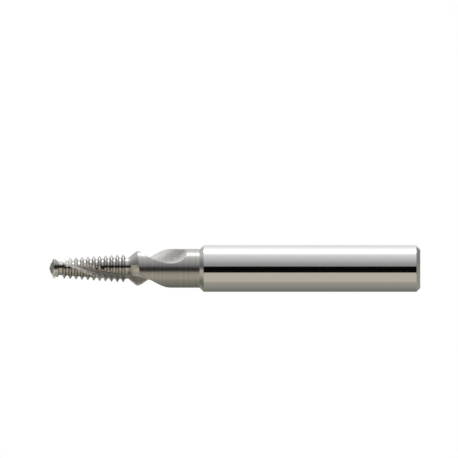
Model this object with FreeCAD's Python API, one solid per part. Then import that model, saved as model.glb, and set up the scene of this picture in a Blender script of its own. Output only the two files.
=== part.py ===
import FreeCAD, Part
import math
import os

# Solid carbide drill thread mill for an M6 x 1 thread, ground from one rod.
# It stands on its shank end: origin at the middle of that face, +Z along the axis to the drill point.
# Lengths are in millimetres and angles in degrees. Heights are measured up from the shank end.

# Shank and neck
shank_diameter = 8.0
shank_length = 36.8
shank_end_chamfer = 0.65
neck_diameter = 6.6
neck_length = 10.6

# Countersink between the neck and the thread
countersink_half_angle = 45.0
countersink_gap = 0.5

# Thread teeth: rings without a lead, one pitch apart, relieved behind their cutting edges
pitch = 1.0
tooth_count = 11
thread_diameter = 4.7
thread_half_angle = 30.0
tooth_depth = 0.5413
crest_width = 0.125
land_angle = 120.0
land_relief = 0.7

# Drill head: full at the corners, tapered behind them down to a flank like the teeth's
drill_diameter = 5.0
head_back_diameter = 4.2
head_groove_width = 0.5
head_taper_length = 0.57
head_corner_length = 0.25
point_angle = 150.0
primary_clearance_angle = 8.0
primary_width = 1.0
secondary_clearance_angle = 16.0

# Point thinning: a notch in front of each lip, from beside the axis down into the flute
chisel_half_length = 0.14
notch_angle = 42.0
notch_slope_angle = 46.0
notch_wall_angle = 118.0

# Two right-hand flutes, with their angles counted forwards from the cutting edge
flute_count = 2
flute_lead_length = 31.3
edge_angle_at_base = -41.8
rake_angle = 8.0
core_diameter = 2.1
flute_fillet = 0.5
thread_heel_angle = 60.0
neck_heel_angle = 113.5

# Flutes in the neck: turned a little further, then the grinding wheel rises out of them along an arc
neck_turn_angle = 7.0
neck_turn_length = 0.6
neck_flute_length = 1.75
runout_arc_radius = 5.36
runout_angle = 128.4

# Room that the cuts leave beyond the surfaces, and sections along the curved stretches
cut_clearance = 0.6
cone_sections = 6
head_sections = 3
neck_sections = 2
runout_sections = 10

# Radii and rates that follow
shank_radius = shank_diameter / 2
neck_radius = neck_diameter / 2
crest_radius = thread_diameter / 2
root_radius = crest_radius - tooth_depth
drill_radius = drill_diameter / 2
head_back_radius = head_back_diameter / 2
core_radius = core_diameter / 2
spacing_angle = 360 / flute_count
turn_per_length = 360 / flute_lead_length
clear_radius = neck_radius + 2 * cut_clearance

# Heights that follow, from the shank up to the drill point
neck_base = shank_length + shank_radius - neck_radius
countersink_base = neck_base + neck_length
countersink_slope = math.tan(math.radians(countersink_half_angle))
countersink_top = countersink_base + (neck_radius - root_radius) / countersink_slope
relieved_base_radius = neck_radius + land_relief + cut_clearance / 6
relieved_base = countersink_top - (relieved_base_radius - root_radius) / countersink_slope
flank_length = tooth_depth * math.tan(math.radians(thread_half_angle))
lowest_crest = countersink_top + countersink_gap + flank_length + crest_width / 2
highest_crest = lowest_crest + (tooth_count - 1) * pitch
head_base = highest_crest + crest_width / 2 + flank_length + head_groove_width
head_back = head_base + (head_back_radius - root_radius) * math.tan(math.radians(thread_half_angle))
head_land = head_back + head_taper_length
head_corner = head_land + head_corner_length
total_length = head_corner + drill_radius / math.tan(math.radians(point_angle / 2))
clear_height = total_length + cut_clearance
runout_top = countersink_base - neck_flute_length
runout_rise = neck_radius + core_radius + cut_clearance / 4
runout_length = math.sqrt(2 * runout_arc_radius * runout_rise)


def edge_angle(height):
    """Direction of the first cutting edge at a height, counter-clockwise from +X."""
    below = max(0, relieved_base - height)
    return edge_angle_at_base + turn_per_length * height - neck_turn_angle * eased(below, neck_turn_length)


def eased(travel, ease_length):
    """Share of a change that is reached after a travel: fast at first, then ever slower."""
    return 1 - math.exp(-travel / ease_length)


def polar(radius, angle, height=0.0):
    """Point at a radius, an angle in degrees and a height."""
    turn = math.radians(angle)
    return FreeCAD.Vector(radius * math.cos(turn), radius * math.sin(turn), height)


def angle_of(point):
    """Direction of a point about the axis, in degrees."""
    return math.degrees(math.atan2(point.y, point.x))


def turned(shape, angle, height=0.0):
    """Copy of a shape, turned about the axis and raised."""
    placed = shape.copy()
    placed.rotate(FreeCAD.Vector(0, 0, 0), FreeCAD.Vector(0, 0, 1), angle)
    placed.translate(FreeCAD.Vector(0, 0, height))
    return placed


def land_radius(edge_radius, behind):
    """Radius of a relieved ring at an angle behind its cutting edge: an Archimedean fall over the land."""
    return edge_radius - land_relief * min(behind / land_angle, 1)


def rake_directions():
    """Direction along the rake face towards the axis, and the direction that the face looks in."""
    rake = math.radians(rake_angle)
    inward = FreeCAD.Vector(-math.cos(rake), -math.sin(rake), 0)
    facing = FreeCAD.Vector(-math.sin(rake), math.cos(rake), 0)
    return inward, facing


def inward_crossing(start, direction, radius):
    """Point where a line from a start outside a circle about the axis first meets the circle."""
    half = start.dot(direction)
    travel = -half - math.sqrt(half ** 2 - start.dot(start) + radius ** 2)
    return start + direction * travel


def rake_point(radius):
    """Point of the rake face at a radius. The thread's cutting edge is on +X."""
    return inward_crossing(polar(crest_radius, 0), rake_directions()[0], radius)


def flute_fillet_points():
    """Start, middle and end of the fillet that leads from the rake face round to the core."""
    inward, facing = rake_directions()
    beside_rake = polar(crest_radius, 0) + facing * flute_fillet
    centre = inward_crossing(beside_rake, inward, core_radius + flute_fillet)
    start = centre - facing * flute_fillet
    end = centre * (core_radius / (core_radius + flute_fillet))
    middle = centre + (start + end - centre * 2).normalize() * flute_fillet
    return start, middle, end


def flute_wall():
    """Curve from the core over the heel of the thread to the heel on the neck, and clear of it."""
    core_point = flute_fillet_points()[2]
    heel = polar(crest_radius - land_relief, thread_heel_angle)
    shoulder = polar(neck_radius, neck_heel_angle)
    outward = (shoulder - heel).normalize()
    curve = Part.BSplineCurve()
    curve.interpolate(
        [core_point, heel, shoulder, shoulder + outward * 2 * cut_clearance],
        InitialTangent=polar(1, angle_of(core_point) + 90),
        FinalTangent=outward,
    )
    return curve


def heel_parameter(wall, edge_radius):
    """Parameter at which the flute's wall meets the relieved land of a ring."""
    low, high = wall.FirstParameter, wall.LastParameter
    for _ in range(50):
        middle = (low + high) / 2
        point = wall.value(middle)
        if point.Length < land_radius(edge_radius, spacing_angle - angle_of(point)):
            low = middle
        else:
            high = middle
    return low


def fluted_outline(edge_radius):
    """Closed outline of the tool across the axis where its cutting edges have the given radius.

    Each share of it runs down the rake face, round the fillet, up the flute's wall to the heel and over
    the relieved land to the next edge. The land is two arcs through points of its Archimedean fall.
    """
    wall = flute_wall()
    meeting = heel_parameter(wall, edge_radius)
    heel = wall.value(meeting)
    edge = rake_point(edge_radius)
    next_edge_angle = spacing_angle + angle_of(edge)
    heel_behind = next_edge_angle - angle_of(heel)
    bend = min(land_angle, heel_behind) / 2

    def on_land(behind):
        return polar(land_radius(edge_radius, behind), next_edge_angle - behind)

    start, middle, end = flute_fillet_points()
    pieces = [
        Part.makeLine(edge, start),
        Part.Arc(start, middle, end).toShape(),
        wall.toShape(wall.FirstParameter, meeting),
        Part.Arc(heel, on_land((heel_behind + bend) / 2), on_land(bend)).toShape(),
        Part.Arc(on_land(bend), on_land(bend / 2), on_land(0)).toShape(),
    ]
    outline = []
    for index in range(flute_count):
        outline += [turned(piece, index * spacing_angle) for piece in pieces]
    return Part.Wire(outline)


def cutting_profile():
    """Heights and edge radii from below the countersink to clear of the drill point."""
    profile = []
    for section in range(cone_sections):
        height = relieved_base + (countersink_top - relieved_base) * section / cone_sections
        profile.append((height, root_radius + (countersink_top - height) * countersink_slope))
    profile.append((countersink_top, root_radius))
    for index in range(tooth_count):
        crest = lowest_crest + index * pitch
        profile.append((crest - crest_width / 2 - flank_length, root_radius))
        profile.append((crest - crest_width / 2, crest_radius))
        profile.append((crest + crest_width / 2, crest_radius))
        profile.append((crest + crest_width / 2 + flank_length, root_radius))
    profile.append((head_base, root_radius))
    profile.append((head_back, head_back_radius))
    for section in range(head_sections):
        height = head_land + (clear_height - head_land) * section / (head_sections - 1)
        profile.append((height, drill_radius))
    return profile


def cutting_part():
    """Countersink, thread teeth and drill head with their relief and flutes, before the point is ground."""
    sections = []
    for height, radius in cutting_profile():
        sections.append(turned(fluted_outline(radius), edge_angle(height), height))
    return Part.makeLoft(sections, True, True).common(Part.makeCylinder(neck_radius, clear_height))


def turned_body():
    """Shank with a chamfer at either end, and neck up to the countersink, as turned from the rod."""
    outline = Part.makePolygon([
        FreeCAD.Vector(0, 0, 0),
        FreeCAD.Vector(shank_radius - shank_end_chamfer, 0, 0),
        FreeCAD.Vector(shank_radius, 0, shank_end_chamfer),
        FreeCAD.Vector(shank_radius, 0, shank_length),
        FreeCAD.Vector(neck_radius, 0, neck_base),
        FreeCAD.Vector(neck_radius, 0, relieved_base),
        FreeCAD.Vector(0, 0, relieved_base),
        FreeCAD.Vector(0, 0, 0),
    ])
    return Part.Face(outline).revolve(FreeCAD.Vector(0, 0, 0), FreeCAD.Vector(0, 0, 1), 360)


def wheel_outline():
    """Closed outline of what the grinding wheel takes away across the axis."""
    wall = flute_wall()
    start, middle, end = flute_fillet_points()
    rake_out = polar(crest_radius, 0) - rake_directions()[0] * (clear_radius - crest_radius)
    outside = polar(clear_radius + cut_clearance, thread_heel_angle)
    return Part.Wire([
        Part.makeLine(rake_out, start),
        Part.Arc(start, middle, end).toShape(),
        wall.toShape(),
        Part.Arc(wall.value(wall.LastParameter), outside, rake_out).toShape(),
    ])


def neck_flute(index):
    """Cut of one flute in the neck: along the helix, and on along it while the wheel rises."""
    outline = wheel_outline()
    step = (relieved_base - runout_top) / neck_sections
    sections = []
    for section in range(neck_sections + 2):
        height = relieved_base + step * (1 - section)
        sections.append(turned(outline, edge_angle(height), height))
    for section in range(1, runout_sections + 1):
        travel = runout_length * section / runout_sections
        risen = outline.copy()
        risen.translate(polar(travel ** 2 / (2 * runout_arc_radius), runout_angle))
        turn = edge_angle(runout_top) - turn_per_length * travel
        sections.append(turned(risen, turn, runout_top - travel))
    return turned(Part.makeLoft(sections, True, True), index * spacing_angle)


def lip_direction(angle, fall_angle):
    """Unit direction at a point lip: an angle forwards from the lip, and a fall below level."""
    level = math.cos(math.radians(fall_angle))
    return polar(level, angle, -math.sin(math.radians(fall_angle)))


def block_above(point, along, across):
    """Block over the plane through a point and two directions."""
    reach = 3 * drill_radius
    corner = point - (along + across) * reach
    outline = Part.makePolygon([
        corner,
        corner + along * 2 * reach,
        point + (along + across) * reach,
        corner + across * 2 * reach,
        corner,
    ])
    return Part.Face(outline).extrude(FreeCAD.Vector(0, 0, reach))


def point_cuts(index):
    """What is ground off at one lip: two clearance facets behind it and the thinning notch before it."""
    reach = 3 * drill_radius
    tip = FreeCAD.Vector(0, 0, total_length)
    lip = lip_direction(0, 90 - point_angle / 2)
    primary = lip_direction(-90, primary_clearance_angle)
    secondary = lip_direction(-90, secondary_clearance_angle)
    facet_end = tip + primary * (primary_width / math.cos(math.radians(primary_clearance_angle)))
    floor = lip_direction(notch_angle, notch_slope_angle)
    far_wall = lip_direction(notch_wall_angle, 0)
    corner = tip + FreeCAD.Vector(chisel_half_length, 0, 0) - floor * reach
    notch_end = Part.makePolygon([corner, corner + lip * reach, corner + far_wall * reach, corner])
    notch = Part.Face(notch_end).extrude(floor * 2 * reach)
    cuts = [block_above(tip, lip, primary), block_above(facet_end, lip, secondary), notch]
    return [turned(cut, edge_angle(total_length) + index * spacing_angle) for cut in cuts]


tool = turned_body().cut([neck_flute(index) for index in range(flute_count)]).fuse(cutting_part())
for index in range(flute_count):
    for cut in point_cuts(index):
        tool = tool.cut(cut)

os.makedirs("parts", exist_ok=True)
tool.Solids[0].exportStep("parts/thread_mill.step")
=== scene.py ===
import itertools
import logging
import math
from collections.abc import Callable, Iterable
from dataclasses import dataclass
from enum import Enum

import bmesh
import bpy
import numpy as np
from mathutils import Matrix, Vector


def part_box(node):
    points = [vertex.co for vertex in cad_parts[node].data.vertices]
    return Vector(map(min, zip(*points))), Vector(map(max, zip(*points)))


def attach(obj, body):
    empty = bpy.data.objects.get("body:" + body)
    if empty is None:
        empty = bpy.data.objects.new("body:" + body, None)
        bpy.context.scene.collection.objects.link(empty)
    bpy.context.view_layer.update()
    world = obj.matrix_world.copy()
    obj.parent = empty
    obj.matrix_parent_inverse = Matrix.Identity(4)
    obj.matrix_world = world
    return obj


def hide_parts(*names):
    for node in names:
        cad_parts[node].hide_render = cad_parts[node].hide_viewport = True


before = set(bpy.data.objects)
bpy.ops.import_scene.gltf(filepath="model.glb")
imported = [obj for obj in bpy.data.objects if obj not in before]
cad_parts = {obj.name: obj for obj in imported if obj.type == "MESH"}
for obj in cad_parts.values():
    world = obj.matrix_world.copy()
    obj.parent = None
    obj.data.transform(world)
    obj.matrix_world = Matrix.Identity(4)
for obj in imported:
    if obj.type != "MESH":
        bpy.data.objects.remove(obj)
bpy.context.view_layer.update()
log = logging.getLogger("thread_mill")

# Lengths are in millimetres and angles in degrees. The meshes are in metres, in the model's frame: the tool
# stands on its shank end, with +Z along the axis to the drill point.
MM = 0.001
NODE = "thread_mill"
BODY = "root"

NECK_RADIUS = 3.3
CREST_RADIUS = 2.35
MARGIN_WIDTH = 0.22
# Width over which the margins' painted highlight fades to the land's own tone.
MARGIN_HIGHLIGHT_FADE = 0.05
# Two lengths that differ by less than this are the same.
ROUNDING = 1e-9

Array = np.ndarray
Field = Callable[[Array, Array], Array]
Socket = bpy.types.NodeSocket
HALF_TURN = np.array([-1, -1, 1])


class Area(Enum):
    """Areas of the tool that are finished apart."""

    SHANK = "shank"
    NECK = "neck"
    FLUTE = "flute"
    RUNOUT = "runout"
    COUNTERSINK = "countersink"
    RELIEF = "relief"
    HEAD = "head"
    POINT = "point"


Finishes = dict[Area, bpy.types.Material]


def turned(x: Array, y: Array, angle: Array | float) -> tuple[Array, Array]:
    """Points turned about the axis.

    Args:
        x: first coordinates.
        y: second coordinates.
        angle: counter-clockwise turn in degrees, one for all or one for each point.

    Returns:
        The turned coordinates.
    """
    turn = np.radians(angle)
    return x * np.cos(turn) - y * np.sin(turn), x * np.sin(turn) + y * np.cos(turn)


def direction(angle: float) -> Array:
    """Unit direction across the axis, counter-clockwise from +X."""
    return np.array([math.cos(math.radians(angle)), math.sin(math.radians(angle))])


def eased(travel: Array, ease_length: float) -> Array:
    """Share of a change that is reached after a travel: one less exp(-travel / ease length)."""
    return 1 - np.exp(-travel / ease_length)


def travelled(points: Array) -> Array:
    """Length of the way through points, up to each of them."""
    return np.concatenate([[0], np.cumsum(np.linalg.norm(np.diff(points, axis=0), axis=1))])


def arc_points(centre: Array, radius: float, first: Array, last: Array, count: int) -> Array:
    """Points of an arc from one direction to another, even in their angle.

    At a share s of the opening angle w the direction is (sin((1 - s) w) first + sin(s w) last) / sin(w).

    Args:
        centre: middle of the arc's circle.
        radius: radius of the circle.
        first: unit direction from the centre to the first point.
        last: unit direction from the centre to the last point.
        count: points wanted.

    Returns:
        The points, one a row.
    """
    opening = math.acos(float(first @ last))
    share = np.linspace(0, 1, count)[:, None]
    blend = np.sin((1 - share) * opening) * first + np.sin(share * opening) * last
    return centre + radius * blend / math.sin(opening)


def clamped_spline(points: Array, first: Array, last: Array, count: int) -> Array:
    """Smooth curve through points, with given end directions.

    The parameter is the chord length t. Between two points the curve is the cubic with their places and
    slopes; the inner slopes make its second derivative continuous, and the end slopes are unit directions.

    Args:
        points: places that the curve goes through, one a row.
        first: unit direction at the first point.
        last: unit direction at the last point.
        count: points wanted.

    Returns:
        The curve's points, one a row, even in the parameter.
    """
    chords = np.linalg.norm(np.diff(points, axis=0), axis=1)
    rates = np.diff(points, axis=0) / chords[:, None]
    size = len(points)
    system = np.zeros((size, size))
    system[0, 0] = system[-1, -1] = 1
    inner = np.arange(1, size - 1)
    system[inner, inner - 1] = chords[1:]
    system[inner, inner] = 2 * (chords[:-1] + chords[1:])
    system[inner, inner + 1] = chords[:-1]
    sides = np.vstack([first, 3 * (rates[:-1] * chords[1:, None] + rates[1:] * chords[:-1, None]), last])
    slopes = np.linalg.solve(system, sides)
    knots = travelled(points)
    at = np.linspace(0, knots[-1], count)
    span = np.clip(np.searchsorted(knots, at, side="right") - 1, 0, size - 2)
    share = ((at - knots[span]) / chords[span])[:, None]
    start, end, length = points[span], points[span + 1], chords[span][:, None]
    return (
        start * (1 + 2 * share) * (1 - share) ** 2
        + end * share**2 * (3 - 2 * share)
        + length * share * (1 - share) * (slopes[span] * (1 - share) - slopes[span + 1] * share)
    )


@dataclass(frozen=True)
class FluteForm:
    """What the grinding wheel leaves of the rod: a rake face, a fillet at the core and a wall to the heel."""

    lead: float = 31.3
    edge_angle_at_base: float = -41.8
    rake_angle: float = 8.0
    core_radius: float = 1.05
    fillet: float = 0.5
    edge_radius: float = CREST_RADIUS
    thread_heel_radius: float = 1.65
    thread_heel_angle: float = 60.0
    neck_radius: float = NECK_RADIUS
    neck_heel_angle: float = 113.5
    clearance: float = 1.2
    neck_turn_angle: float = 7.0
    neck_turn_length: float = 0.6
    relieved_base: float = 47.3
    runout_top: float = 46.35
    runout_arc_radius: float = 5.36
    runout_angle: float = 128.4
    rake_points: int = 160
    fillet_points: int = 60
    wall_points: int = 300

    def curve(self) -> tuple[Array, Array, Array]:
        """Wheel's form across the axis, with the thread's cutting edge on +X.

        The rake face is a straight line that leans back by the rake angle. The fillet is an arc that touches
        it and the core circle, and the wall is a clamped spline from there over both heels.

        Returns:
            Length along the form from clear of the rod, and the two coordinates.
        """
        rake = math.radians(self.rake_angle)
        inward = np.array([-math.cos(rake), -math.sin(rake)])
        facing = np.array([-math.sin(rake), math.cos(rake)])
        edge = np.array([self.edge_radius, 0])
        beside = edge + facing * self.fillet
        reach = self.core_radius + self.fillet
        half = beside @ inward
        centre = beside + inward * (-half - math.sqrt(half**2 - beside @ beside + reach**2))
        arc = arc_points(centre, self.fillet, -facing, -centre / reach, self.fillet_points)
        outside = edge - inward * (self.neck_radius + self.clearance - self.edge_radius)
        line = outside + (arc[0] - outside) * np.linspace(0, 1, self.rake_points)[:, None]
        heel = self.thread_heel_radius * direction(self.thread_heel_angle)
        shoulder = self.neck_radius * direction(self.neck_heel_angle)
        outward = (shoulder - heel) / np.linalg.norm(shoulder - heel)
        core_point = arc[-1]
        along_core = np.array([-core_point[1], core_point[0]]) / np.linalg.norm(core_point)
        corners = np.vstack([core_point, heel, shoulder, shoulder + outward * self.clearance])
        wall = clamped_spline(corners, along_core, outward, self.wall_points)
        points = np.vstack([line, arc[1:], wall[1:]])
        return travelled(points), points[:, 0], points[:, 1]

    def edge_angle(self, height: Array) -> Array:
        """Direction of the first cutting edge: a helix that is turned a little further in the neck.

        Args:
            height: heights above the shank end.

        Returns:
            The directions in degrees from +X.
        """
        below = np.maximum(0, self.relieved_base - height)
        turn = self.neck_turn_angle * eased(below, self.neck_turn_length)
        return self.edge_angle_at_base + 360 / self.lead * height - turn

    def runout_travel(self) -> float:
        """Travel below the run-out's start at which the wheel is just clear of the neck.

        A point p of the form that is lifted along a unit direction d reaches the neck's radius R after
        -p.d + sqrt((p.d)^2 - p.p + R^2). The form is clear after the longest of these.

        Returns:
            The travel, from the lift and the arc's radius.
        """
        _, x, y = self.curve()
        along = direction(self.runout_angle)
        ahead = x * along[0] + y * along[1]
        inside = ahead**2 - x**2 - y**2 + self.neck_radius**2
        lift = (np.sqrt(np.maximum(inside, 0)) - ahead)[x**2 + y**2 < self.neck_radius**2].max()
        return math.sqrt(2 * self.runout_arc_radius * lift)

    def runout_end(self) -> float:
        """Height at which the run-out ends in the neck."""
        return self.runout_top - self.runout_travel()

    def lift(self, height: Array) -> tuple[Array, Array]:
        """How far the wheel has moved out of the rod: the square of its travel over the arc's diameter.

        Args:
            height: heights above the shank end.

        Returns:
            The two coordinates of its way, before the helix turns it.
        """
        travel = np.clip(self.runout_top - height, 0, self.runout_travel())
        rise = travel**2 / (2 * self.runout_arc_radius)
        along = direction(self.runout_angle)
        return rise * along[0], rise * along[1]

    def turn(self, height: Array) -> Array:
        """Turn of the form: on along the plain helix in the run-out, and kept where that has ended."""
        below = self.runout_top - np.clip(height, self.runout_end(), self.runout_top)
        return self.edge_angle(np.maximum(height, self.runout_top)) - 360 / self.lead * below


@dataclass
class Patch:
    """Grid of points, with the place on the surface that its finish reads at each of them."""

    points: Array
    place: Array
    area: Area
    smooth: bool = True

    def opposite(self) -> "Patch":
        """The same patch turned half round the axis."""
        return Patch(self.points * HALF_TURN, self.place, self.area, self.smooth)

    def part(self, rows: slice, area: Area) -> "Patch":
        """Some rows of the patch, with an area of their own."""
        return Patch(self.points[rows], self.place[rows], area, self.smooth)


@dataclass
class Skin:
    """Closed mesh sewn from grids of points whose borders meet."""

    name: str
    patches: list[Patch]
    weld: float = 1e-6
    sharp_angle: float = 16.0

    def corners(self) -> tuple[Array, Array, Array, Array]:
        """Corner points of all the squares, patch after patch.

        Returns:
            For each square its four places in the list of points, its four places on the surface, the number
            of its area and whether it is shaded smooth.
        """
        squares, places, areas, smooth = [], [], [], []
        before = 0
        kinds = list(Area)
        for patch in self.patches:
            rows, columns = patch.points.shape[:2]
            index = before + np.arange(rows * columns).reshape(rows, columns)
            ring = [(slice(None, -1), slice(None, -1)), (slice(None, -1), slice(1, None)),
                    (slice(1, None), slice(1, None)), (slice(1, None), slice(None, -1))]
            squares.append(np.stack([index[part] for part in ring], -1).reshape(-1, 4))
            places.append(np.stack([patch.place[part] for part in ring], -2).reshape(-1, 4, 3))
            areas.append(np.full(len(squares[-1]), kinds.index(patch.area)))
            smooth.append(np.full(len(squares[-1]), patch.smooth))
            before += rows * columns
        return np.concatenate(squares), np.concatenate(places), np.concatenate(areas), np.concatenate(smooth)

    def build(self, finishes: Finishes) -> bpy.types.Object:
        """Sews the patches into one object.

        Points closer than the weld distance become one. A square that loses a corner by that is a triangle,
        and one that loses two is left out.

        Args:
            finishes: material for each area.

        Returns:
            The finished object, which rides on the body and stands for the CAD node.
        """
        squares, places, areas, smooth = self.corners()
        points = np.concatenate([patch.points.reshape(-1, 3) for patch in self.patches])
        keys = np.round(points / self.weld).astype(np.int64)
        _, kept, sewn = np.unique(keys, axis=0, return_index=True, return_inverse=True)
        squares = sewn.reshape(-1)[squares]
        single = squares != np.roll(squares, 1, axis=1)
        whole = single.sum(axis=1) >= 3
        found = (squares, places, areas, smooth, single)
        squares, places, areas, smooth, single = (part[whole] for part in found)
        sizes = single.sum(axis=1)
        mesh = bpy.data.meshes.new(self.name)
        mesh.vertices.add(len(kept))
        mesh.vertices.foreach_set("co", (points[kept] * MM).ravel())
        mesh.loops.add(int(sizes.sum()))
        mesh.loops.foreach_set("vertex_index", squares[single])
        mesh.polygons.add(len(sizes))
        mesh.polygons.foreach_set("loop_start", np.concatenate([[0], np.cumsum(sizes)[:-1]]))
        mesh.polygons.foreach_set("use_smooth", smooth)
        present = [area for index, area in enumerate(Area) if index in areas]
        slots = np.array([present.index(area) if area in present else 0 for area in Area])
        mesh.polygons.foreach_set("material_index", slots[areas])
        for area in present:
            mesh.materials.append(finishes[area])
        mesh.update(calc_edges=True)
        mesh.validate()
        place = mesh.attributes.new("place", "FLOAT_VECTOR", "CORNER")
        place.data.foreach_set("vector", places[single].ravel())
        mesh.set_sharp_from_angle(angle=math.radians(self.sharp_angle))
        piece = bpy.data.objects.new(self.name, mesh)
        bpy.context.scene.collection.objects.link(piece)
        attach(piece, BODY)
        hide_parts(NODE)
        return piece


class Piece:
    """Sub-assembly of the tool that is built as one object."""

    def skin(self) -> Skin:
        """Closed surface of the piece."""
        raise NotImplementedError

    def cut(self, piece: bpy.types.Object) -> None:
        """Cuts the built mesh, on a piece that needs it."""

    def build(self, finishes: Finishes) -> bpy.types.Object:
        """Builds the piece.

        Args:
            finishes: material for each area.

        Returns:
            The piece's object.
        """
        piece = self.skin().build(finishes)
        self.cut(piece)
        return piece


@dataclass(frozen=True)
class Stretch:
    """Stretch of a rod with its own finishes, up to a row of its points or to the top."""

    flute: Area
    land: Area
    top: int | None = None


@dataclass
class FlutedRod:
    """Rod with an outer form, cut by two flutes that start at opposite cutting edges."""

    flute: FluteForm
    outer: Field
    flute_columns: int = 48
    land_columns: int = 72

    def __post_init__(self) -> None:
        """Works out the wheel's form once."""
        self.lengths, self.across, self.beside = self.flute.curve()

    def columns(self) -> int:
        """Columns of points from one cutting edge to just before the next."""
        return self.flute_columns + self.land_columns

    def crossings(self, edge_height: Array, heel_height: Array) -> tuple[Array, Array, Array]:
        """Where the form of the wheel leaves the rod on the rake side and at the heel.

        Along the form, seen from outside, it is the first place that lies within the outer form, and seen
        from the other end the last one. Where the wheel is clear, both are the place nearest the axis.

        Args:
            edge_height: heights of the points on the rake side.
            heel_height: heights of the points at the heel.

        Returns:
            Lengths along the form on the rake side and at the heel, and the edge's direction.
        """
        last = len(self.lengths) - 1
        x, y = self.lifted(self.across[None], self.beside[None], edge_height[:, None])
        excess = np.hypot(x, y) - self.outer(edge_height, np.zeros_like(edge_height))[:, None]
        clear = (excess >= -ROUNDING).all(axis=1)
        nearest = self.lengths[excess.argmin(axis=1)]
        inside = np.clip((excess < 0).argmax(axis=1), 1, last)
        edge_at = np.where(clear, nearest, self.flush(excess, inside - 1))
        edge_x, edge_y = self.at(edge_at, edge_height)
        edge_direction = np.degrees(np.arctan2(edge_y, edge_x))
        x, y = self.lifted(self.across[None], self.beside[None], heel_height[:, None])
        behind = 180 + edge_direction[:, None] - np.degrees(np.arctan2(y, x))
        excess = np.hypot(x, y) - self.outer(np.broadcast_to(heel_height[:, None], x.shape), behind)
        inside = np.clip(last - (excess[:, ::-1] < 0).argmax(axis=1), 0, last - 1)
        heel_at = np.where(clear, nearest, self.flush(excess, inside))
        return edge_at, np.maximum(heel_at, edge_at), edge_direction

    def flush(self, excess: Array, before: Array) -> Array:
        """Length along the form at which it is flush with the outer form.

        It is where the straight line through the excess at two neighbouring points comes to zero.

        Args:
            excess: radius of the form's points less that of the outer form, a row for each height.
            before: for each row the index of the first of the two points.

        Returns:
            The length for each row.
        """
        rows = np.arange(len(excess))
        low, high = excess[rows, before], excess[rows, before + 1]
        share = low / np.where(low == high, 1, low - high)
        return self.lengths[before] + share * (self.lengths[before + 1] - self.lengths[before])

    def lifted(self, x: Array, y: Array, height: Array) -> tuple[Array, Array]:
        """Form's points moved by the wheel's lift at their heights."""
        lift_x, lift_y = self.flute.lift(height)
        return x + lift_x, y + lift_y

    def at(self, length: Array, height: Array) -> tuple[Array, Array]:
        """Point of the form at a length along it, lifted as at its height."""
        x, y = (np.interp(length, self.lengths, places) for places in (self.across, self.beside))
        return self.lifted(x, y, height)

    def half(self, heights: Array) -> tuple[Patch, Patch]:
        """Flute and land from the first cutting edge to the second.

        The flute's columns divide the form evenly between its two crossings. The land's columns divide the
        angle from the heel to the next edge evenly, at the radius of the outer form. The helix turns each
        point by its own height.

        Args:
            heights: height of each point, rows up the tool and columns round it, with both edges.

        Returns:
            The patches of the flute and of the land, with lengths across, up and round as their places.
        """
        at_edge, at_heel = heights[:, 0], heights[:, self.flute_columns]
        edge_at, heel_at, edge_direction = self.crossings(at_edge, at_heel)
        share = np.linspace(0, 1, self.flute_columns + 1)[None]
        along = edge_at[:, None] + (heel_at - edge_at)[:, None] * share
        flute_height = heights[:, : self.flute_columns + 1]
        x, y = self.at(along, flute_height)
        heel_direction = np.degrees(np.arctan2(y[:, -1], x[:, -1]))
        x, y = turned(x, y, self.flute.turn(flute_height))
        flute_points = np.stack([x, y, flute_height], -1)
        flute_place = np.stack([along - edge_at[:, None], flute_height, np.zeros_like(x)], -1)
        land_height = heights[:, self.flute_columns :]
        share = np.linspace(1, 0, self.land_columns + 1)[None]
        behind = (180 + edge_direction - heel_direction)[:, None] * share
        radius = self.outer(land_height, behind)
        angle = np.radians(180 + edge_direction[:, None] - behind + self.flute.turn(land_height))
        land_points = np.stack([radius * np.cos(angle), radius * np.sin(angle), land_height], -1)
        land_points[:, 0] = flute_points[:, -1]
        land_points[:, -1] = flute_points[:, 0] * HALF_TURN
        land_place = np.stack([np.radians(behind) * radius, land_height, radius], -1)
        return Patch(flute_points, flute_place, Area.FLUTE), Patch(land_points, land_place, Area.RELIEF)

    def lobe(self, flute: Patch, land: Patch, row: int, height: Field | None = None) -> Patch:
        """Half of the face across the rod at one row of its surface.

        It is a Coons patch: the sum of the two ruled surfaces between opposite borders, less the bilinear
        one between the corners. The borders are the flute's wall, the land, the next flute's rake face and
        the line between the middles of the two flutes.

        Args:
            flute: patch of the flute.
            land: patch of the land behind it.
            row: row of both, 0 at the bottom and -1 at the top.
            height: height over two coordinates, or None to keep the Coons patch's own.

        Returns:
            The patch, facing up for the last row and down for the first. Its places are the distance from the
            axis and the two coordinates.
        """
        middle = self.flute_columns // 2
        left = flute.points[row, middle:]
        right = (flute.points[row, : middle + 1] * HALF_TURN)[::-1]
        top = land.points[row]
        up = np.linspace(0, 1, middle + 1)[:, None, None]
        over = np.linspace(0, 1, self.land_columns + 1)[None, :, None]
        bottom = left[0] + (right[0] - left[0]) * over[0]
        corners = (1 - up) * bottom[None] + up * (left[-1] + (right[-1] - left[-1]) * over)
        sides = (1 - over) * left[:, None] + over * right[:, None]
        points = sides + (1 - up) * bottom[None] + up * top[None] - corners
        points[:, 0], points[:, -1], points[-1] = left, right, top
        if height is not None:
            inner = points[:-1, 1:-1]
            inner[..., 2] = height(inner[..., 0], inner[..., 1])
        points = points[::-1] if row else points[::-1, ::-1]
        place = np.stack([np.hypot(points[..., 0], points[..., 1]), points[..., 0], points[..., 1]], -1)
        return Patch(points, place, Area.POINT, smooth=False)

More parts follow.
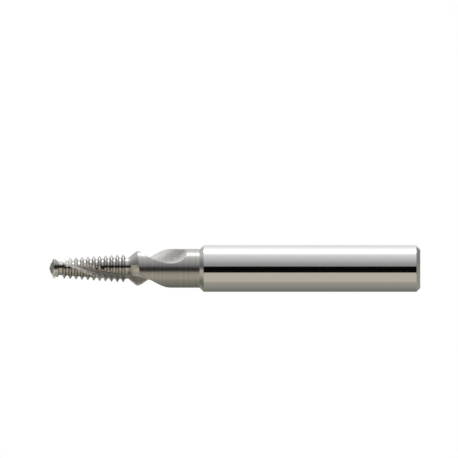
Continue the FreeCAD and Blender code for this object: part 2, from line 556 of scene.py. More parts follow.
    def skin(self, name: str, heights: Array, stretches: list[Stretch], height: Field | None = None) -> Skin:
        """Closed surface of a piece of the rod.

        Args:
            name: name of the piece.
            heights: height of each point from the first edge to the second, both included.
            stretches: stretches with their finishes, from the lowest up.
            height: height of the top face over two coordinates, or None where it only joins the next piece.

        Returns:
            The skin, ready to be built.
        """
        flute, land = self.half(heights)
        patches = [self.lobe(flute, land, 0), self.lobe(flute, land, -1, height)]
        first = 0
        for stretch in stretches:
            rows = slice(first, None if stretch.top is None else stretch.top + 1)
            patches += [flute.part(rows, stretch.flute), land.part(rows, stretch.land)]
            first = stretch.top
        return Skin(name, patches + [patch.opposite() for patch in patches])


def level(values: Array, columns: int) -> Array:
    """Grid of level rows: each value repeated in all the columns of its row."""
    return np.repeat(values[:, None], columns, axis=1)


def between(marks: list[float], steps: list[int]) -> Array:
    """Heights that divide the stretches between marks into even steps.

    Args:
        marks: heights of the sharp corners, rising.
        steps: steps in each stretch.

    Returns:
        The heights, each mark among them.
    """
    parts = [np.linspace(low, high, count + 1)[:-1] for low, high, count in zip(marks[:-1], marks[1:], steps)]
    return np.append(np.concatenate(parts), marks[-1])


def spaced(run: Array, near: float, longest: float) -> Array:
    """Points after the first along a straight run: close to its ends and no further apart than a length.

    Args:
        run: the two ends.
        near: length of the first and the last step.
        longest: longest step. A shorter run isn't divided.

    Returns:
        The points, with the run's far end.
    """
    length = float(np.linalg.norm(run[1] - run[0]))
    if length < longest:
        return run[1:]
    end = near / length
    shares = np.concatenate([[end], np.linspace(end, 1 - end, math.ceil(length / longest) + 1)[1:], [1.0]])
    return run[0] + (run[1] - run[0]) * shares[:, None]


def rounded(corners: list[tuple[float, float, float]], steps: int) -> Array:
    """Outline of straight runs whose corners are arcs.

    Each arc touches both runs, about a centre on the corner's bisector.

    Args:
        corners: radius, height and arc radius of each corner, where an arc radius of 0 keeps it sharp.
        steps: steps along each arc.

    Returns:
        Radius and height of the points.
    """
    places = np.array([corner[:2] for corner in corners])
    points = [places[:1]]
    for index in range(1, len(corners) - 1):
        corner, arc = places[index], corners[index][2]
        if arc == 0:
            points.append(corner[None])
            continue
        back = (places[index - 1] - corner) / np.linalg.norm(places[index - 1] - corner)
        ahead = (places[index + 1] - corner) / np.linalg.norm(places[index + 1] - corner)
        half = math.acos(float(np.clip(back @ ahead, -1, 1))) / 2
        centre = corner + (back + ahead) / np.linalg.norm(back + ahead) * arc / math.sin(half)
        first = (corner + back * arc / math.tan(half) - centre) / arc
        last = (corner + ahead * arc / math.tan(half) - centre) / arc
        points.append(arc_points(centre, arc, first, last, steps + 1))
    points.append(places[-1:])
    return np.concatenate(points)


@dataclass
class Shank(Piece):
    """Plain round shank with a chamfer at either end, its edges broken by small arcs."""

    radius: float
    length: float = 36.8
    end_chamfer: float = 0.65
    neck_radius: float = NECK_RADIUS
    end_break: float = 0.04
    chamfer_break: float = 0.12
    shoulder_break: float = 0.08
    break_steps: int = 5
    near_step: float = 0.04
    longest_step: float = 2.0
    columns: int = 192

    def profile(self) -> Array:
        """Outline of straight runs from the axis at the shank end to the axis at the shoulder.

        Returns:
            Radius and height of its points.
        """
        top = self.length + (self.radius - self.neck_radius)
        corners = [
            (0.0, 0.0, 0.0),
            (self.radius - self.end_chamfer, 0.0, self.end_break),
            (self.radius, self.end_chamfer, self.chamfer_break),
            (self.radius, self.length, self.shoulder_break),
            (self.neck_radius, top, 0.0),
            (0.0, top, 0.0),
        ]
        outline = rounded(corners, self.break_steps)
        ends = np.stack([outline[:-1], outline[1:]], 1)
        runs = [spaced(run, self.near_step, self.longest_step) for run in ends]
        return np.concatenate([outline[:1], *runs])

    def skin(self) -> Skin:
        """Outline turned about the axis.

        Returns:
            The skin, with lengths along the outline, up and round as its places.
        """
        outline = self.profile()
        count = self.columns + 1
        angle = np.linspace(0, 2 * math.pi, count)
        angle[-1] = 0
        radius, height, along = (level(values, count) for values in (*outline.T, travelled(outline)))
        points = np.stack([radius * np.cos(angle), radius * np.sin(angle), height], -1)
        return Skin("shank", [Patch(points, np.stack([along, height, radius], -1), Area.SHANK)])


@dataclass
class CuttingForm:
    """Radii and heights of the relieved cutting part, at its cutting edges."""

    neck_radius: float = NECK_RADIUS
    countersink_base: float = 48.1
    root_radius: float = 1.8087
    countersink_gap: float = 0.5
    pitch: float = 1.0
    tooth_count: int = 11
    crest_radius: float = CREST_RADIUS
    crest_width: float = 0.125
    flank_angle: float = 30.0
    land_angle: float = 120.0
    land_relief: float = 0.7
    margin_width: float = MARGIN_WIDTH
    ridge_heel_drop: float = 0.3
    drill_radius: float = 2.5
    head_back_radius: float = 2.1
    head_groove_width: float = 0.5
    head_taper_length: float = 0.57

    def countersink_top(self) -> float:
        """Height where the 45 degree countersink meets the thread's root."""
        return self.countersink_base + self.neck_radius - self.root_radius

    def flank_length(self, radius: float) -> float:
        """Length along the axis of a flank that rises from the root to a radius."""
        return (radius - self.root_radius) * math.tan(math.radians(self.flank_angle))

    def tooth_half(self) -> float:
        """Length along the axis from the middle of a tooth to its foot."""
        return self.crest_width / 2 + self.flank_length(self.crest_radius)

    def lowest_crest(self) -> float:
        """Height of the middle of the lowest tooth."""
        return self.countersink_top() + self.countersink_gap + self.tooth_half()

    def head_base(self) -> float:
        """Height where the drill head rises from the root."""
        highest = self.lowest_crest() + (self.tooth_count - 1) * self.pitch
        return highest + self.tooth_half() + self.head_groove_width

    def head_back(self) -> float:
        """Height where the drill head's flank ends and its taper begins."""
        return self.head_base() + self.flank_length(self.head_back_radius)

    def head_land(self) -> float:
        """Height where the drill head reaches its full radius."""
        return self.head_back() + self.head_taper_length

    def marks(self) -> list[float]:
        """Heights of the thread's corners.

        Returns:
            The countersink's top, four corners for each tooth, and the drill head's base.
        """
        crest, foot = self.crest_width / 2, self.tooth_half()
        middles = [self.lowest_crest() + index * self.pitch for index in range(self.tooth_count)]
        corners = [middle + way for middle in middles for way in (-foot, -crest, crest, foot)]
        return [self.countersink_top(), *corners, self.head_base()]

    def edge_radius(self, height: Array) -> Array:
        """Radius of the cutting edges: straight between the corners, and a 45 degree cone below them.

        Args:
            height: heights above the shank end.

        Returns:
            The radii.
        """
        root, crest = self.root_radius, self.crest_radius
        marks = [0.0, *self.marks(), self.head_back(), self.head_land()]
        thread = [root, *[root, crest, crest, root] * self.tooth_count, root]
        radii = [root + self.countersink_top(), *thread, self.head_back_radius, self.drill_radius]
        return np.interp(height, marks, radii)

    def fall(self, behind: Array, radius: Array) -> Array:
        """Relief behind the edge: none on the margin, then an Archimedean fall over the land angle."""
        margin = np.degrees(self.margin_width / radius)
        return self.land_relief * np.clip((behind - margin) / (self.land_angle - margin), 0, 1)

    def outer(self, height: Array, behind: Array) -> Array:
        """Radius of the rod before it is fluted.

        Args:
            height: heights above the shank end.
            behind: angles behind the cutting edge.

        Returns:
            The smaller of the neck's radius and the relieved edge radius.
        """
        edge = self.edge_radius(height)
        return np.minimum(self.neck_radius, edge - self.fall(behind, np.minimum(edge, self.neck_radius)))

    def ridge(self, rod: FlutedRod) -> Array:
        """How far the ridge between neck and countersink lies below the countersink's base.

        The ridge falls behind the edge as the relief does. In the flute it is straight from the edge to the
        heel, whose direction is taken a little lower down.

        Args:
            rod: rod whose columns are asked for.

        Returns:
            Fall of the ridge at each column, from one edge to the next.
        """
        base = np.array([self.countersink_base - self.ridge_heel_drop])
        _, heel_at, edge_direction = rod.crossings(base, base)
        x, y = rod.at(heel_at, base)
        sweep = 180 + edge_direction - np.degrees(np.arctan2(y, x))
        land = self.fall(sweep * np.linspace(1, 0, rod.land_columns + 1), np.array(self.neck_radius))
        flute = land[0] * np.linspace(0, 1, rod.flute_columns + 1)[:-1]
        return np.concatenate([flute, land])


@dataclass
class FlutedPiece(Piece):
    """Piece of the fluted rod."""

    rod: FlutedRod
    form: CuttingForm


@dataclass
class Neck(FlutedPiece):
    """Round neck with the run-outs of both flutes."""

    base: float = 37.5
    plain_rows: int = 8
    runout_rows: int = 80
    helix_rows: int = 24

    def heights(self) -> Array:
        """Rows from the shoulder to the ridge of the countersink, closest where the run-out ends.

        Returns:
            Height of each point.
        """
        flute = self.rod.flute
        end = flute.runout_end()
        plain = np.linspace(self.base, end, self.plain_rows + 1)[:-1]
        rising = end + (flute.runout_top - end) * np.linspace(0, 1, self.runout_rows + 1)[:-1] ** 2
        helix = np.linspace(flute.runout_top, self.form.countersink_base, self.helix_rows + 1)
        rows = level(np.concatenate([plain, rising, helix]), self.rod.columns() + 1)
        share = np.clip((rows - flute.runout_top) / (self.form.countersink_base - flute.runout_top), 0, 1)
        return rows - share * self.form.ridge(self.rod)[None]

    def skin(self) -> Skin:
        """Surface with the run-outs below and the fluted stretch above."""
        runout = Stretch(Area.RUNOUT, Area.NECK, self.plain_rows + self.runout_rows)
        return self.rod.skin("neck", self.heights(), [runout, Stretch(Area.FLUTE, Area.NECK)])


@dataclass
class ThreadSection(FlutedPiece):
    """Countersink and thread teeth."""

    cone_steps: int = 24
    gap_steps: int = 4
    corner_steps: tuple[int, int, int, int] = (4, 2, 4, 3)

    def heights(self) -> Array:
        """Rows from the countersink's ridge over the teeth to the drill head.

        Returns:
            Height of each point.
        """
        form = self.form
        share = np.linspace(0, 1, self.cone_steps + 1)[:-1, None]
        low = form.countersink_base - form.ridge(self.rod)[None]
        cone = low + (form.countersink_top() - low) * share
        teeth = between(form.marks(), [self.gap_steps, *self.corner_steps * form.tooth_count])
        return np.vstack([cone, level(teeth, self.rod.columns() + 1)])

    def skin(self) -> Skin:
        """Surface with the countersink below and the teeth above."""
        cone = Stretch(Area.FLUTE, Area.COUNTERSINK, self.cone_steps)
        return self.rod.skin("thread_section", self.heights(), [cone, Stretch(Area.FLUTE, Area.RELIEF)])


@dataclass
class DrillHead(FlutedPiece):
    """Drill head with two clearance facets and a thinning notch at each lip."""

    total_length: float
    point_angle: float = 150.0
    primary_clearance: float = 8.0
    primary_width: float = 1.0
    secondary_clearance: float = 16.0
    chisel_half_length: float = 0.14
    notch_angle: float = 42.0
    notch_slope: float = 46.0
    notch_wall_angle: float = 118.0
    row_steps: tuple[int, int, int] = (4, 8, 10)
    rim_rounds: int = 80
    least_step: float = 2e-5
    crease_samples: int = 401
    cut_tolerance: float = 0.0005

    def lip_direction(self, angle: float, fall: float) -> Array:
        """Unit direction at a lip: an angle forwards from it and a fall below level."""
        along = direction(angle) * math.cos(math.radians(fall))
        return np.array([along[0], along[1], -math.sin(math.radians(fall))])

    def facets(self) -> Array:
        """Planes of the point: for each lip its two clearances, and the notch's floor and wall.

        A plane through a point with directions along it has the normal of their cross product.

        Returns:
            Slopes along X and Y and the height at the axis of each plane, for both lips.
        """
        tip = np.array([0, 0, self.total_length])
        lip = self.lip_direction(0, 90 - self.point_angle / 2)
        primary = self.lip_direction(-90, self.primary_clearance)
        secondary = self.lip_direction(-90, self.secondary_clearance)
        facet_end = tip + primary * self.primary_width / math.cos(math.radians(self.primary_clearance))
        corner = tip + np.array([self.chisel_half_length, 0, 0])
        floor = self.lip_direction(self.notch_angle, self.notch_slope)
        wall = self.lip_direction(self.notch_wall_angle, 0)
        through = np.array([tip, facet_end, corner, corner])
        normal = np.cross([lip, lip, floor, floor], [primary, secondary, lip, wall])
        slope = -normal[:, :2] / normal[:, 2:]
        axis_height = through[:, 2] - (through[:, :2] * slope).sum(axis=1)
        turn = self.rod.flute.turn(np.array(self.total_length))
        return np.stack([np.stack([*turned(*slope.T, turn + side), axis_height], -1) for side in (0, 180)])

    def ground(self, x: Array, y: Array) -> Array:
        """Height of the ground point over two coordinates.

        For each lip it is the lowest of its two clearance planes and of the notch, whose own height is the
        higher of its floor plane and its wall plane. The point is the lower of both lips' heights.

        Args:
            x: first coordinates.
            y: second coordinates.

        Returns:
            The heights.
        """
        heights = np.tensordot(self.facets(), np.stack([x, y, np.ones_like(x)]), 1)
        notch = heights[:, 2:].max(axis=1)
        return np.minimum(heights[:, :2].min(axis=1), notch).min(axis=0)

    def creases(self) -> list[tuple[Array, Array]]:
        """Straight lines, seen from above, along which two facets meet on the point.

        Two planes meet where their heights differ by zero, unless they are parallel. The line counts where
        the point has their height somewhere inside the head.

        Returns:
            For each line its place nearest the axis and the direction across it.
        """
        reach = np.linspace(-self.form.drill_radius, self.form.drill_radius, self.crease_samples)
        found = []
        for one, other in itertools.combinations(self.facets().reshape(-1, 3), 2):
            across = (one - other)[:2]
            steepness = math.hypot(*across)
            if steepness < ROUNDING:
                continue
            foot = (other - one)[2] * across / steepness**2
            x, y = foot[:, None] + np.array([-across[1], across[0]])[:, None] * reach / steepness
            meet = np.abs(self.ground(x, y) - one[0] * x - one[1] * y - one[2]) < ROUNDING
            if (meet & (np.hypot(x, y) < self.form.drill_radius)).any():
                found.append((foot, across))
        return found

    def cut(self, piece: bpy.types.Object) -> None:
        """Cuts the piece along the creases and sets the inner points of its top face on the facets.

        Args:
            piece: the head's object.
        """
        mesh = piece.data
        shape = bmesh.new()
        shape.from_mesh(mesh)
        for foot, across in self.creases():
            bmesh.ops.bisect_plane(
                shape, geom=[*shape.verts, *shape.edges, *shape.faces], dist=self.cut_tolerance * MM,
                plane_co=(*(foot * MM), 0.0), plane_no=(*across, 0.0),
            )
        shape.to_mesh(mesh)
        shape.free()
        points = np.empty(3 * len(mesh.vertices))
        mesh.vertices.foreach_get("co", points)
        points = points.reshape(-1, 3) / MM
        sizes, slots = np.empty((2, len(mesh.polygons)), dtype=np.int32)
        mesh.polygons.foreach_get("loop_total", sizes)
        mesh.polygons.foreach_get("material_index", slots)
        corners = np.empty(len(mesh.loops), dtype=np.int32)
        mesh.loops.foreach_get("vertex_index", corners)
        inner = np.ones(len(points), dtype=bool)
        top_slot = mesh.materials.find(FINISHES[Area.POINT].name)
        inner[corners[np.repeat(slots != top_slot, sizes)]] = False
        inner &= points[:, 2] > self.form.head_back()
        points[inner, 2] = self.ground(points[inner, 0], points[inner, 1])
        mesh.vertices.foreach_set("co", (points * MM).ravel())
        mesh.update()

    def rim(self) -> Array:
        """Height at which each column meets the ground point: each round halves the error.

        Returns:
            Height of each column from the first edge to the second.
        """
        top = np.full(self.rod.columns() + 1, self.form.head_land())
        for _ in range(self.rim_rounds):
            flute, land = self.rod.half(top[None])
            ring = np.concatenate([flute.points[0], land.points[0][1:]])
            top = top + (self.ground(ring[:, 0], ring[:, 1]) - top) / 2
        return top

    def heights(self) -> Array:
        """Rows from the root over the flank, the taper and the land up to the ground point.

        On the lands the rows are level up to the highest point of the rim, and those that would lie above a
        column's own rim are packed close below it. In the flutes the rows of both borders are blended and
        scaled to each column's own height.

        Returns:
            Height of each point.
        """
        base = self.form.head_base()
        rim = self.rim()
        marks = [base, self.form.head_back(), self.form.head_land(), rim.max()]
        rows = level(between(marks, list(self.row_steps)), len(rim))
        left = np.arange(len(rows))[::-1, None] * self.least_step
        rows = np.minimum(rows, rim[None] - left)
        rows[-1] = rim
        count = self.rod.flute_columns
        over = np.linspace(0, 1, count + 1)[None]
        first = (rows[:, :1] - base) / (rim[0] - base)
        last = (rows[:, count : count + 1] - base) / (rim[count] - base)
        rows[:, : count + 1] = base + ((1 - over) * first + over * last) * (rim[: count + 1] - base)[None]
        return rows

    def skin(self) -> Skin:
        """Surface with the ground point on top."""
        return self.rod.skin("drill_head", self.heights(), [Stretch(Area.FLUTE, Area.HEAD)], self.ground)


class NodeSheet:
    """Shader nodes of one material or world, added and joined by name."""

    def __init__(self, owner: bpy.types.Material | bpy.types.World) -> None:
        """Empties the node tree.

        Args:
            owner: material or world that the nodes are for.
        """
        owner.use_nodes = True
        self.tree = owner.node_tree
        self.tree.nodes.clear()

    def feed(self, socket: Socket, value: object) -> None:
        """Joins an input to a source, or sets its value.

        Args:
            socket: the input.
            value: a socket or a plain value.
        """
        if isinstance(value, Socket):
            self.tree.links.new(value, socket)
        else:
            socket.default_value = value

    def add(self, kind: str, **values: object) -> bpy.types.ShaderNode:
        """Adds a node.

        Args:
            kind: the node's type, without the common prefix.
            values: settings of the node, and values or sources of its inputs by their identifiers, with _
                for a space.

        Returns:
            The node.
        """
        node = self.tree.nodes.new("ShaderNode" + kind)
        for name, value in values.items():
            if hasattr(node, name):
                setattr(node, name, value)
            else:
                self.feed(self.socket(node.inputs, name), value)
        return node

    @staticmethod
    def socket(sockets: Iterable[Socket], name: str) -> Socket:
        """The one socket with an identifier, with _ for a space."""
        return next(socket for socket in sockets if socket.identifier.replace(" ", "_") == name)

    def math(self, operation: str, *values: object) -> Socket:
        """Adds a sum.

        Args:
            operation: name of the sum.
            values: its numbers or sockets, one to three.

        Returns:
            The result.
        """
        node = self.add("Math", operation=operation)
        for socket, value in zip(node.inputs, values):
            self.feed(socket, value)
        return node.outputs[0]

    def share(self, value: Socket, start: float, end: float) -> Socket:
        """Share of the way from a start to an end at which a value lies, kept from 0 to 1."""
        return self.add("MapRange", Value=value, From_Min=start, From_Max=end).outputs[0]

    def noise(self, place: Socket, **values: float) -> Socket:
        """Noise at a place, less its mean of a half."""
        return self.math("SUBTRACT", self.add("TexNoise", Vector=place, **values).outputs[0], 0.5)

    def mixed(self, share: Socket, first: Socket, second: Socket) -> Socket:
        """Colour between two others, by the share of the second."""
        node = self.add("Mix", data_type="RGBA", Factor_Float=share, A_Color=first, B_Color=second)
        return self.socket(node.outputs, "Result_Color")

    def ramp(self, position: Socket, stops: list[tuple[float, tuple[float, ...]]]) -> Socket:
        """Adds a colour ramp.

        Args:
            position: place on the ramp, from 0 to 1.
            stops: place and linear colour of each stop, from the lowest up.

        Returns:
            The colour.
        """
        node = self.add("ValToRGB", Fac=position)
        elements = node.color_ramp.elements
        elements.remove(elements[1])
        for index, (place, colour) in enumerate(stops):
            element = elements[0] if index == 0 else elements.new(place)
            element.position = place
            element.color = [*colour, 1.0]
        return node.outputs[0]


@dataclass(frozen=True)
class Finish:
    """Bare ground carbide: a metal with fine lines where the wheel ran.

    The lines are noise that is drawn out along one way of the surface. They vary the tone, the gloss and the
    height a little, and plain noise clouds the tone. The tone may also rise towards the tip, a painted
    highlight, and follow a ramp across from the cutting edge, which paints a highlight beside the edge and
    shade in the flute's fillet. Beside the edge a margin may be duller. A metallic share below one stands for
    grinding marks too fine to be seen one by one. Scales are counted per millimetre.
    """

    name: str
    color: tuple[float, float, float]
    roughness: float
    line_scale: tuple[float, float, float]
    metallic: float = 1.0
    line_detail: float = 3.0
    line_contrast: float = 0.6
    line_tone: float = 0.1
    line_height: float = 0.0
    cloud_scale: float = 0.6
    cloud_detail: float = 2.0
    cloud_tone: float = 0.03
    gloss_change: float = 0.0
    # Painted highlight: how much the colour lightens towards the tip.
    painted_tip_light: float = 0.0
    tip_start: float = 55.0
    tip_end: float = 60.5
    # Painted light and shade across from the cutting edge, as distances and tones.
    painted_light_bands: tuple[tuple[float, float], ...] = ()
    band_reach: float = 4.0
    margin_roughness: float = 0.0
    margin_start: float = 0.264
    margin_end: float = MARGIN_WIDTH

    def shade(self, sheet: NodeSheet, lines: Socket, place: bpy.types.ShaderNode) -> Socket:
        """Adds what the colour is multiplied by.

        It is one, plus the lines, the clouds and the painted highlight that rises towards the tip, times the
        ramp's painted light and shade across from the edge.

        Args:
            sheet: the material's nodes.
            lines: noise of the lines about zero.
            place: node with the lengths across and up the surface.

        Returns:
            The factor.
        """
        spot = sheet.add("TexCoord").outputs["Object"]
        clouds = sheet.noise(spot, Scale=self.cloud_scale / MM, Detail=self.cloud_detail)
        shade = sheet.math("MULTIPLY_ADD", lines, 2 * self.line_tone, 1.0)
        shade = sheet.math("MULTIPLY_ADD", clouds, 2 * self.cloud_tone, shade)
        # Painted highlight: the colour lightens from the tip start to the tip end.
        if self.painted_tip_light:
            near = sheet.share(place.outputs["Y"], self.tip_start, self.tip_end)
            shade = sheet.math("MULTIPLY_ADD", near, self.painted_tip_light, shade)
        # Painted light and shade: a ramp across from the cutting edge scales the colour.
        if self.painted_light_bands:
            most = max(tone for _, tone in self.painted_light_bands)
            over = sheet.math("DIVIDE", place.outputs["X"], self.band_reach)
            tone = sheet.ramp(over, [(at / self.band_reach, (tone / most,) * 3) for at, tone in self.painted_light_bands])
            shade = sheet.math("MULTIPLY", shade, sheet.math("MULTIPLY", tone, most))
        return shade

    def gloss(self, sheet: NodeSheet, lines: Socket, place: bpy.types.ShaderNode) -> float | Socket:
        """Adds what varies the roughness: the lines, and the margin beside the cutting edge.

        Args:
            sheet: the material's nodes.
            lines: noise of the lines about zero.
            place: node with the lengths across and up the surface.

        Returns:
            The roughness, a plain number where it is the same all over.
        """
        gloss = self.roughness
        if self.gloss_change:
            gloss = sheet.math("MULTIPLY_ADD", lines, 2 * self.gloss_change, gloss)
        if self.margin_roughness:
            margin = sheet.share(place.outputs["X"], self.margin_start, self.margin_end)
            gloss = sheet.math("MULTIPLY_ADD", margin, self.margin_roughness - self.roughness, gloss)
        return gloss

    def material(self) -> bpy.types.Material:
        """Makes the material.

        Returns:
            The material with its nodes.
        """
        material = bpy.data.materials.new(self.name)
        sheet = NodeSheet(material)
        attribute = sheet.add("Attribute", attribute_name="place").outputs["Vector"]
        place = sheet.add("SeparateXYZ", Vector=attribute)
        drawn = sheet.add("Mapping", Vector=attribute, Scale=self.line_scale).outputs[0]
        lines = sheet.noise(drawn, Scale=1.0, Detail=self.line_detail, Roughness=self.line_contrast)
        shade = self.shade(sheet, lines, place)
        tint = sheet.add("VectorMath", operation="SCALE", Vector=self.color, Scale=shade).outputs[0]
        gloss = self.gloss(sheet, lines, place)
        surface = sheet.add("BsdfPrincipled", Base_Color=tint, Metallic=self.metallic, Roughness=gloss)
        if self.line_height:
            bump = sheet.add("Bump", Strength=1.0, Distance=self.line_height * MM, Height=lines).outputs[0]
            sheet.feed(surface.inputs["Normal"], bump)
        sheet.add("OutputMaterial", Surface=surface.outputs[0])
        return material


@dataclass(frozen=True)
class Tone:
    """Grey or near-grey of the studio at an elevation, as display values."""

    elevation: float
    red: float
    green: float
    blue: float

    def light(self, reflectance: float) -> Array:
        """Linear light that a metal of this reflectance shows as the tone."""
        tones = np.array([self.red, self.green, self.blue]) / 255
        return np.where(tones <= 0.04045, tones / 12.92, ((tones + 0.055) / 1.055) ** 2.4) / reflectance


def tone_rows(*stops: tuple[float, ...]) -> tuple[Tone, ...]:
    """Tones from rows of an elevation and three display values, or one value for a neutral grey."""
    return tuple(Tone(elevation, *(values * 3)[:3]) for elevation, *values in stops)


@dataclass
class Studio:
    """Light tent round the tool, seen by its reflections, with a pale floor and the camera.

    Elevations are counted from the camera's level plane towards +X, which is up in the picture. In front of
    the tool a dark gap lies at the camera's height, and an overhead light hangs a little behind the tool.
    Beyond the drill point and beyond the shank end the tent has tones of its own. The tones are rows of an
    elevation and display values, and the starts and ends are angles round the tool, or for the sides the
    share of a direction that points along it.
    """

    reflectance: float = 0.56
    peak: float = 6.0
    front: tuple[Tone, ...] = tone_rows(
        (-90, 141, 139, 130), (-72, 151, 148, 136), (-69, 176, 169, 157), (-30, 178, 170, 158),
        (-22.5, 172, 164, 154), (-20, 8, 7, 4), (8, 8), (10.5, 136), (18.6, 141), (28.5, 158), (38.7, 175),
        (49.2, 188), (60, 200), (68, 216), (76, 236), (80, 275), (84, 370), (90, 400),
    )
    back: tuple[Tone, ...] = tone_rows(
        (-90, 141, 139, 130), (-78.7, 136, 135, 127), (-62, 123, 123, 114), (-50, 112, 112, 105),
        (-5, 100, 99, 92), (5, 205), (29, 205), (52, 222), (62, 232), (72, 255), (80, 320), (84, 370),
        (90, 400),
    )
    tip_side: tuple[Tone, ...] = tone_rows(
        (-90, 92, 91, 82), (-32, 92, 91, 82), (-25, 132, 127, 114), (-18, 160, 154, 140), (-8, 163, 157, 144),
        (0, 112, 109, 103), (6, 84), (16, 112), (24, 140), (30, 176), (50, 190), (70, 255), (84, 370),
        (90, 400),
    )
    end_side: tuple[Tone, ...] = tone_rows(
        (-90, 138, 140, 130), (-20, 136, 139, 126), (0, 130, 130, 122), (15, 118), (40, 128), (60, 142),
        (75, 165), (84, 370), (90, 400),
    )
    behind_start: float = 95.0
    behind_end: float = 125.0
    beside_start: float = 76.0
    beside_end: float = 86.0
    side_start: float = 0.25
    side_end: float = 0.5
    view_width: float = 77.8
    view_across: float = 6.676
    view_along: float = 32.49
    view_distance: float = 400.0
    floor_radius: float = 2500.0
    floor_corners: int = 96
    floor_gap: float = 0.01
    floor_color: tuple[float, float, float, float] = (0.86, 0.86, 0.85, 1.0)
    floor_roughness: float = 0.6
    floor_glow: float = 0.35

    def ramp(self, sheet: NodeSheet, tones: tuple[Tone, ...], elevation: Socket) -> Socket:
        """Adds a ramp of tones over the elevation.

        Args:
            sheet: world's nodes.
            tones: tones from the lowest elevation up.
            elevation: elevation as a share of the half circle.

        Returns:
            Colour in units of the peak.
        """
        colours = [tuple(tone.light(self.reflectance) / self.peak) for tone in tones]
        places = [(tone.elevation + 90) / 180 for tone in tones]
        return sheet.ramp(elevation, list(zip(places, colours)))

    def surroundings(self) -> bpy.types.World:
        """World that lights the tool: ramps over the elevation, in front, behind and beyond both its ends.

        With the unit direction (x, y, z), the elevation is the arcsine of x. The angle round the tool, from
        the camera's side backwards, is that of |z| over -y, and the ends are reached by z alone.

        Returns:
            The world, white where the camera sees it directly.
        """
        world = bpy.data.worlds.new("light_tent")
        sheet = NodeSheet(world)
        x, y, z = sheet.add("SeparateXYZ", Vector=sheet.add("TexCoord").outputs["Generated"]).outputs
        elevation = sheet.math("MULTIPLY_ADD", sheet.math("ARCSINE", x), 1 / math.pi, 0.5)
        angle = sheet.math("ARCTAN2", sheet.math("ABSOLUTE", z), sheet.math("MULTIPLY", y, -1.0))
        behind = sheet.share(angle, math.radians(self.behind_start), math.radians(self.behind_end))
        beside = sheet.share(angle, math.radians(self.beside_start), math.radians(self.beside_end))
        front, back = (self.ramp(sheet, tones, elevation) for tones in (self.front, self.back))
        tent = sheet.mixed(behind, front, back)
        for along, tones in ((z, self.tip_side), (sheet.math("MULTIPLY", z, -1.0), self.end_side)):
            aside = sheet.math("MULTIPLY", sheet.share(along, self.side_start, self.side_end), beside)
            tent = sheet.mixed(aside, tent, self.ramp(sheet, tones, elevation))
        seen = sheet.add("Background", Color=(1.0, 1.0, 1.0, 1.0), Strength=1.0).outputs[0]
        lit = sheet.add("Background", Color=tent, Strength=self.peak).outputs[0]
        direct = sheet.add("LightPath").outputs["Is Camera Ray"]
        both = sheet.add("MixShader", Fac=direct, Shader=lit, Shader_001=seen).outputs[0]
        sheet.add("OutputWorld", Surface=both)
        return world

    def floor(self) -> None:
        """Lays the pale floor just under the shank end: one round face, its points on a circle.

        It is kept out of the metal's reflections, which show the tent alone.
        """
        angle = np.linspace(0, 2 * math.pi, self.floor_corners, endpoint=False)
        depth = np.full(self.floor_corners, -self.floor_gap)
        rim = np.stack([self.floor_radius * np.cos(angle), self.floor_radius * np.sin(angle), depth], -1) * MM
        mesh = bpy.data.meshes.new("floor")
        mesh.from_pydata(rim.tolist(), [], [range(self.floor_corners)])
        material = bpy.data.materials.new("floor")
        sheet = NodeSheet(material)
        surface = sheet.add(
            "BsdfPrincipled", Base_Color=self.floor_color, Roughness=self.floor_roughness,
            Emission_Color=self.floor_color, Emission_Strength=self.floor_glow,
        )
        sheet.add("OutputMaterial", Surface=surface.outputs[0])
        mesh.materials.append(material)
        floor = bpy.data.objects.new("floor", mesh)
        bpy.context.scene.collection.objects.link(floor)
        floor.visible_glossy = False

    def camera(self) -> None:
        """Sets the camera, which looks along +Y with the drill point to the left."""
        data = bpy.data.cameras.new("camera")
        data.type = "ORTHO"
        data.ortho_scale = self.view_width * MM
        camera = bpy.data.objects.new("camera", data)
        right, up, back = (0, 0, -1), (1, 0, 0), (0, -1, 0)
        place = np.array([self.view_across, -self.view_distance, self.view_along]) * MM
        camera.matrix_world = Matrix([*np.array([right, up, back, place]).T, (0, 0, 0, 1)])
        bpy.context.scene.collection.objects.link(camera)
        bpy.context.scene.camera = camera

    def set_up(self) -> None:
        """Places everything round the tool."""
        scene = bpy.context.scene
        scene.view_settings.view_transform = "Standard"
        scene.world = self.surroundings()
        self.floor()
        self.camera()


def land_finish(name: str, color: tuple[float, float, float], roughness: float, margin_highlight: float) -> Finish:
    """Finish of a relieved land, whose margin beside the cutting edge is duller and painted brighter, a
    painted highlight of the edge.

    Args:
        name: name of the material.
        color: colour behind the margin.
        roughness: roughness behind the margin.
        margin_highlight: tone of the margin, a painted highlight.

    Returns:
        The finish.
    """
    # Painted highlight: the margin is brighter, then fades to the land's own tone.
    painted_light_bands = ((0.0, margin_highlight), (MARGIN_WIDTH, margin_highlight), (MARGIN_WIDTH + MARGIN_HIGHLIGHT_FADE, 1.0))
    return Finish(
        name, color, roughness, (0.3, 9.0, 0.0), line_height=0.0003, painted_light_bands=painted_light_bands, margin_roughness=0.5
    )


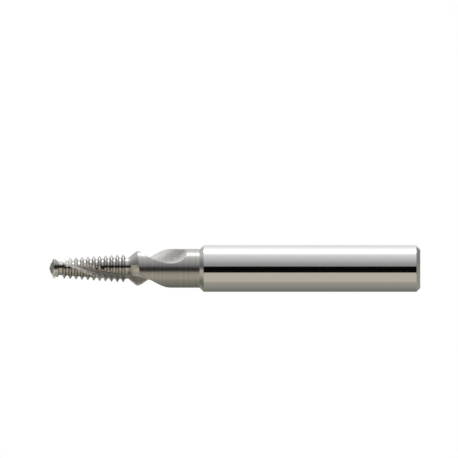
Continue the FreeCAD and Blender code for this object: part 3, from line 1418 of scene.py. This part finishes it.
FINISHES: dict[Area, Finish] = {
    Area.SHANK: Finish(
        "polished_shank", (0.56, 0.56, 0.56), 0.06, (0.0, 3.0, 0.0), line_tone=0.01, cloud_tone=0.02
    ),
    Area.NECK: Finish(
        "ground_neck", (0.385, 0.38, 0.365), 0.285, (0.0, 3.0, 0.0),
        line_tone=0.35, line_height=0.0008, gloss_change=0.06,
    ),
    # The run-out's colour is painted light: far lighter than the flute's, for the overhead light that its
    # upturned face catches.
    Area.RUNOUT: Finish(
        "ground_runout", (0.74, 0.73, 0.72), 0.6, (6.0, 1.5, 0.0), metallic=0.35,
        line_tone=0.12, line_height=0.001, cloud_scale=3.0, cloud_tone=0.25,
    ),
    # The flute's dark colour is partly painted shade of its channel. Its tone rising towards the tip is a
    # painted highlight. The ramp across from the edge paints a highlight beside it and shade in the fillet,
    # and is lighter again towards the heel.
    Area.FLUTE: Finish(
        "ground_flute", (0.37, 0.36, 0.345), 0.5, (9.0, 0.4, 0.0), metallic=0.6,
        line_tone=0.15, line_height=0.0008, cloud_scale=2.2, cloud_tone=0.5, painted_tip_light=1.8,
        painted_light_bands=((0.0, 1.4), (0.3, 1.25), (0.55, 0.7), (1.4, 0.65), (1.9, 1.15), (2.5, 1.7)),
    ),
    Area.COUNTERSINK: land_finish("ground_countersink", (0.60, 0.59, 0.565), 0.16, 1.4),
    Area.RELIEF: land_finish("ground_relief", (0.47, 0.46, 0.44), 0.19, 1.8),
    Area.HEAD: land_finish("ground_head", (0.60, 0.59, 0.57), 0.24, 1.6),
    Area.POINT: Finish(
        "ground_point", (0.52, 0.52, 0.51), 0.18, (0.0, 9.0, 0.5), line_tone=0.08, line_height=0.0003
    ),
}


def main() -> None:
    """Builds the tool and its studio, and reports each piece."""
    logging.basicConfig(level=logging.INFO, format="%(name)s: %(message)s")
    low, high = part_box(NODE)
    shank_radius = (high[0] - low[0]) / 2 / MM
    total_length = (high[2] - low[2]) / MM
    form = CuttingForm()
    rod = FlutedRod(FluteForm(), form.outer)
    finishes = {area: finish.material() for area, finish in FINISHES.items()}
    head = DrillHead(rod, form, total_length)
    for assembly in (Shank(shank_radius), Neck(rod, form), ThreadSection(rod, form), head):
        piece = assembly.build(finishes)
        log.info("%s: %d faces", piece.name, len(piece.data.polygons))
    Studio().set_up()


if __name__ == "__main__":
    main()
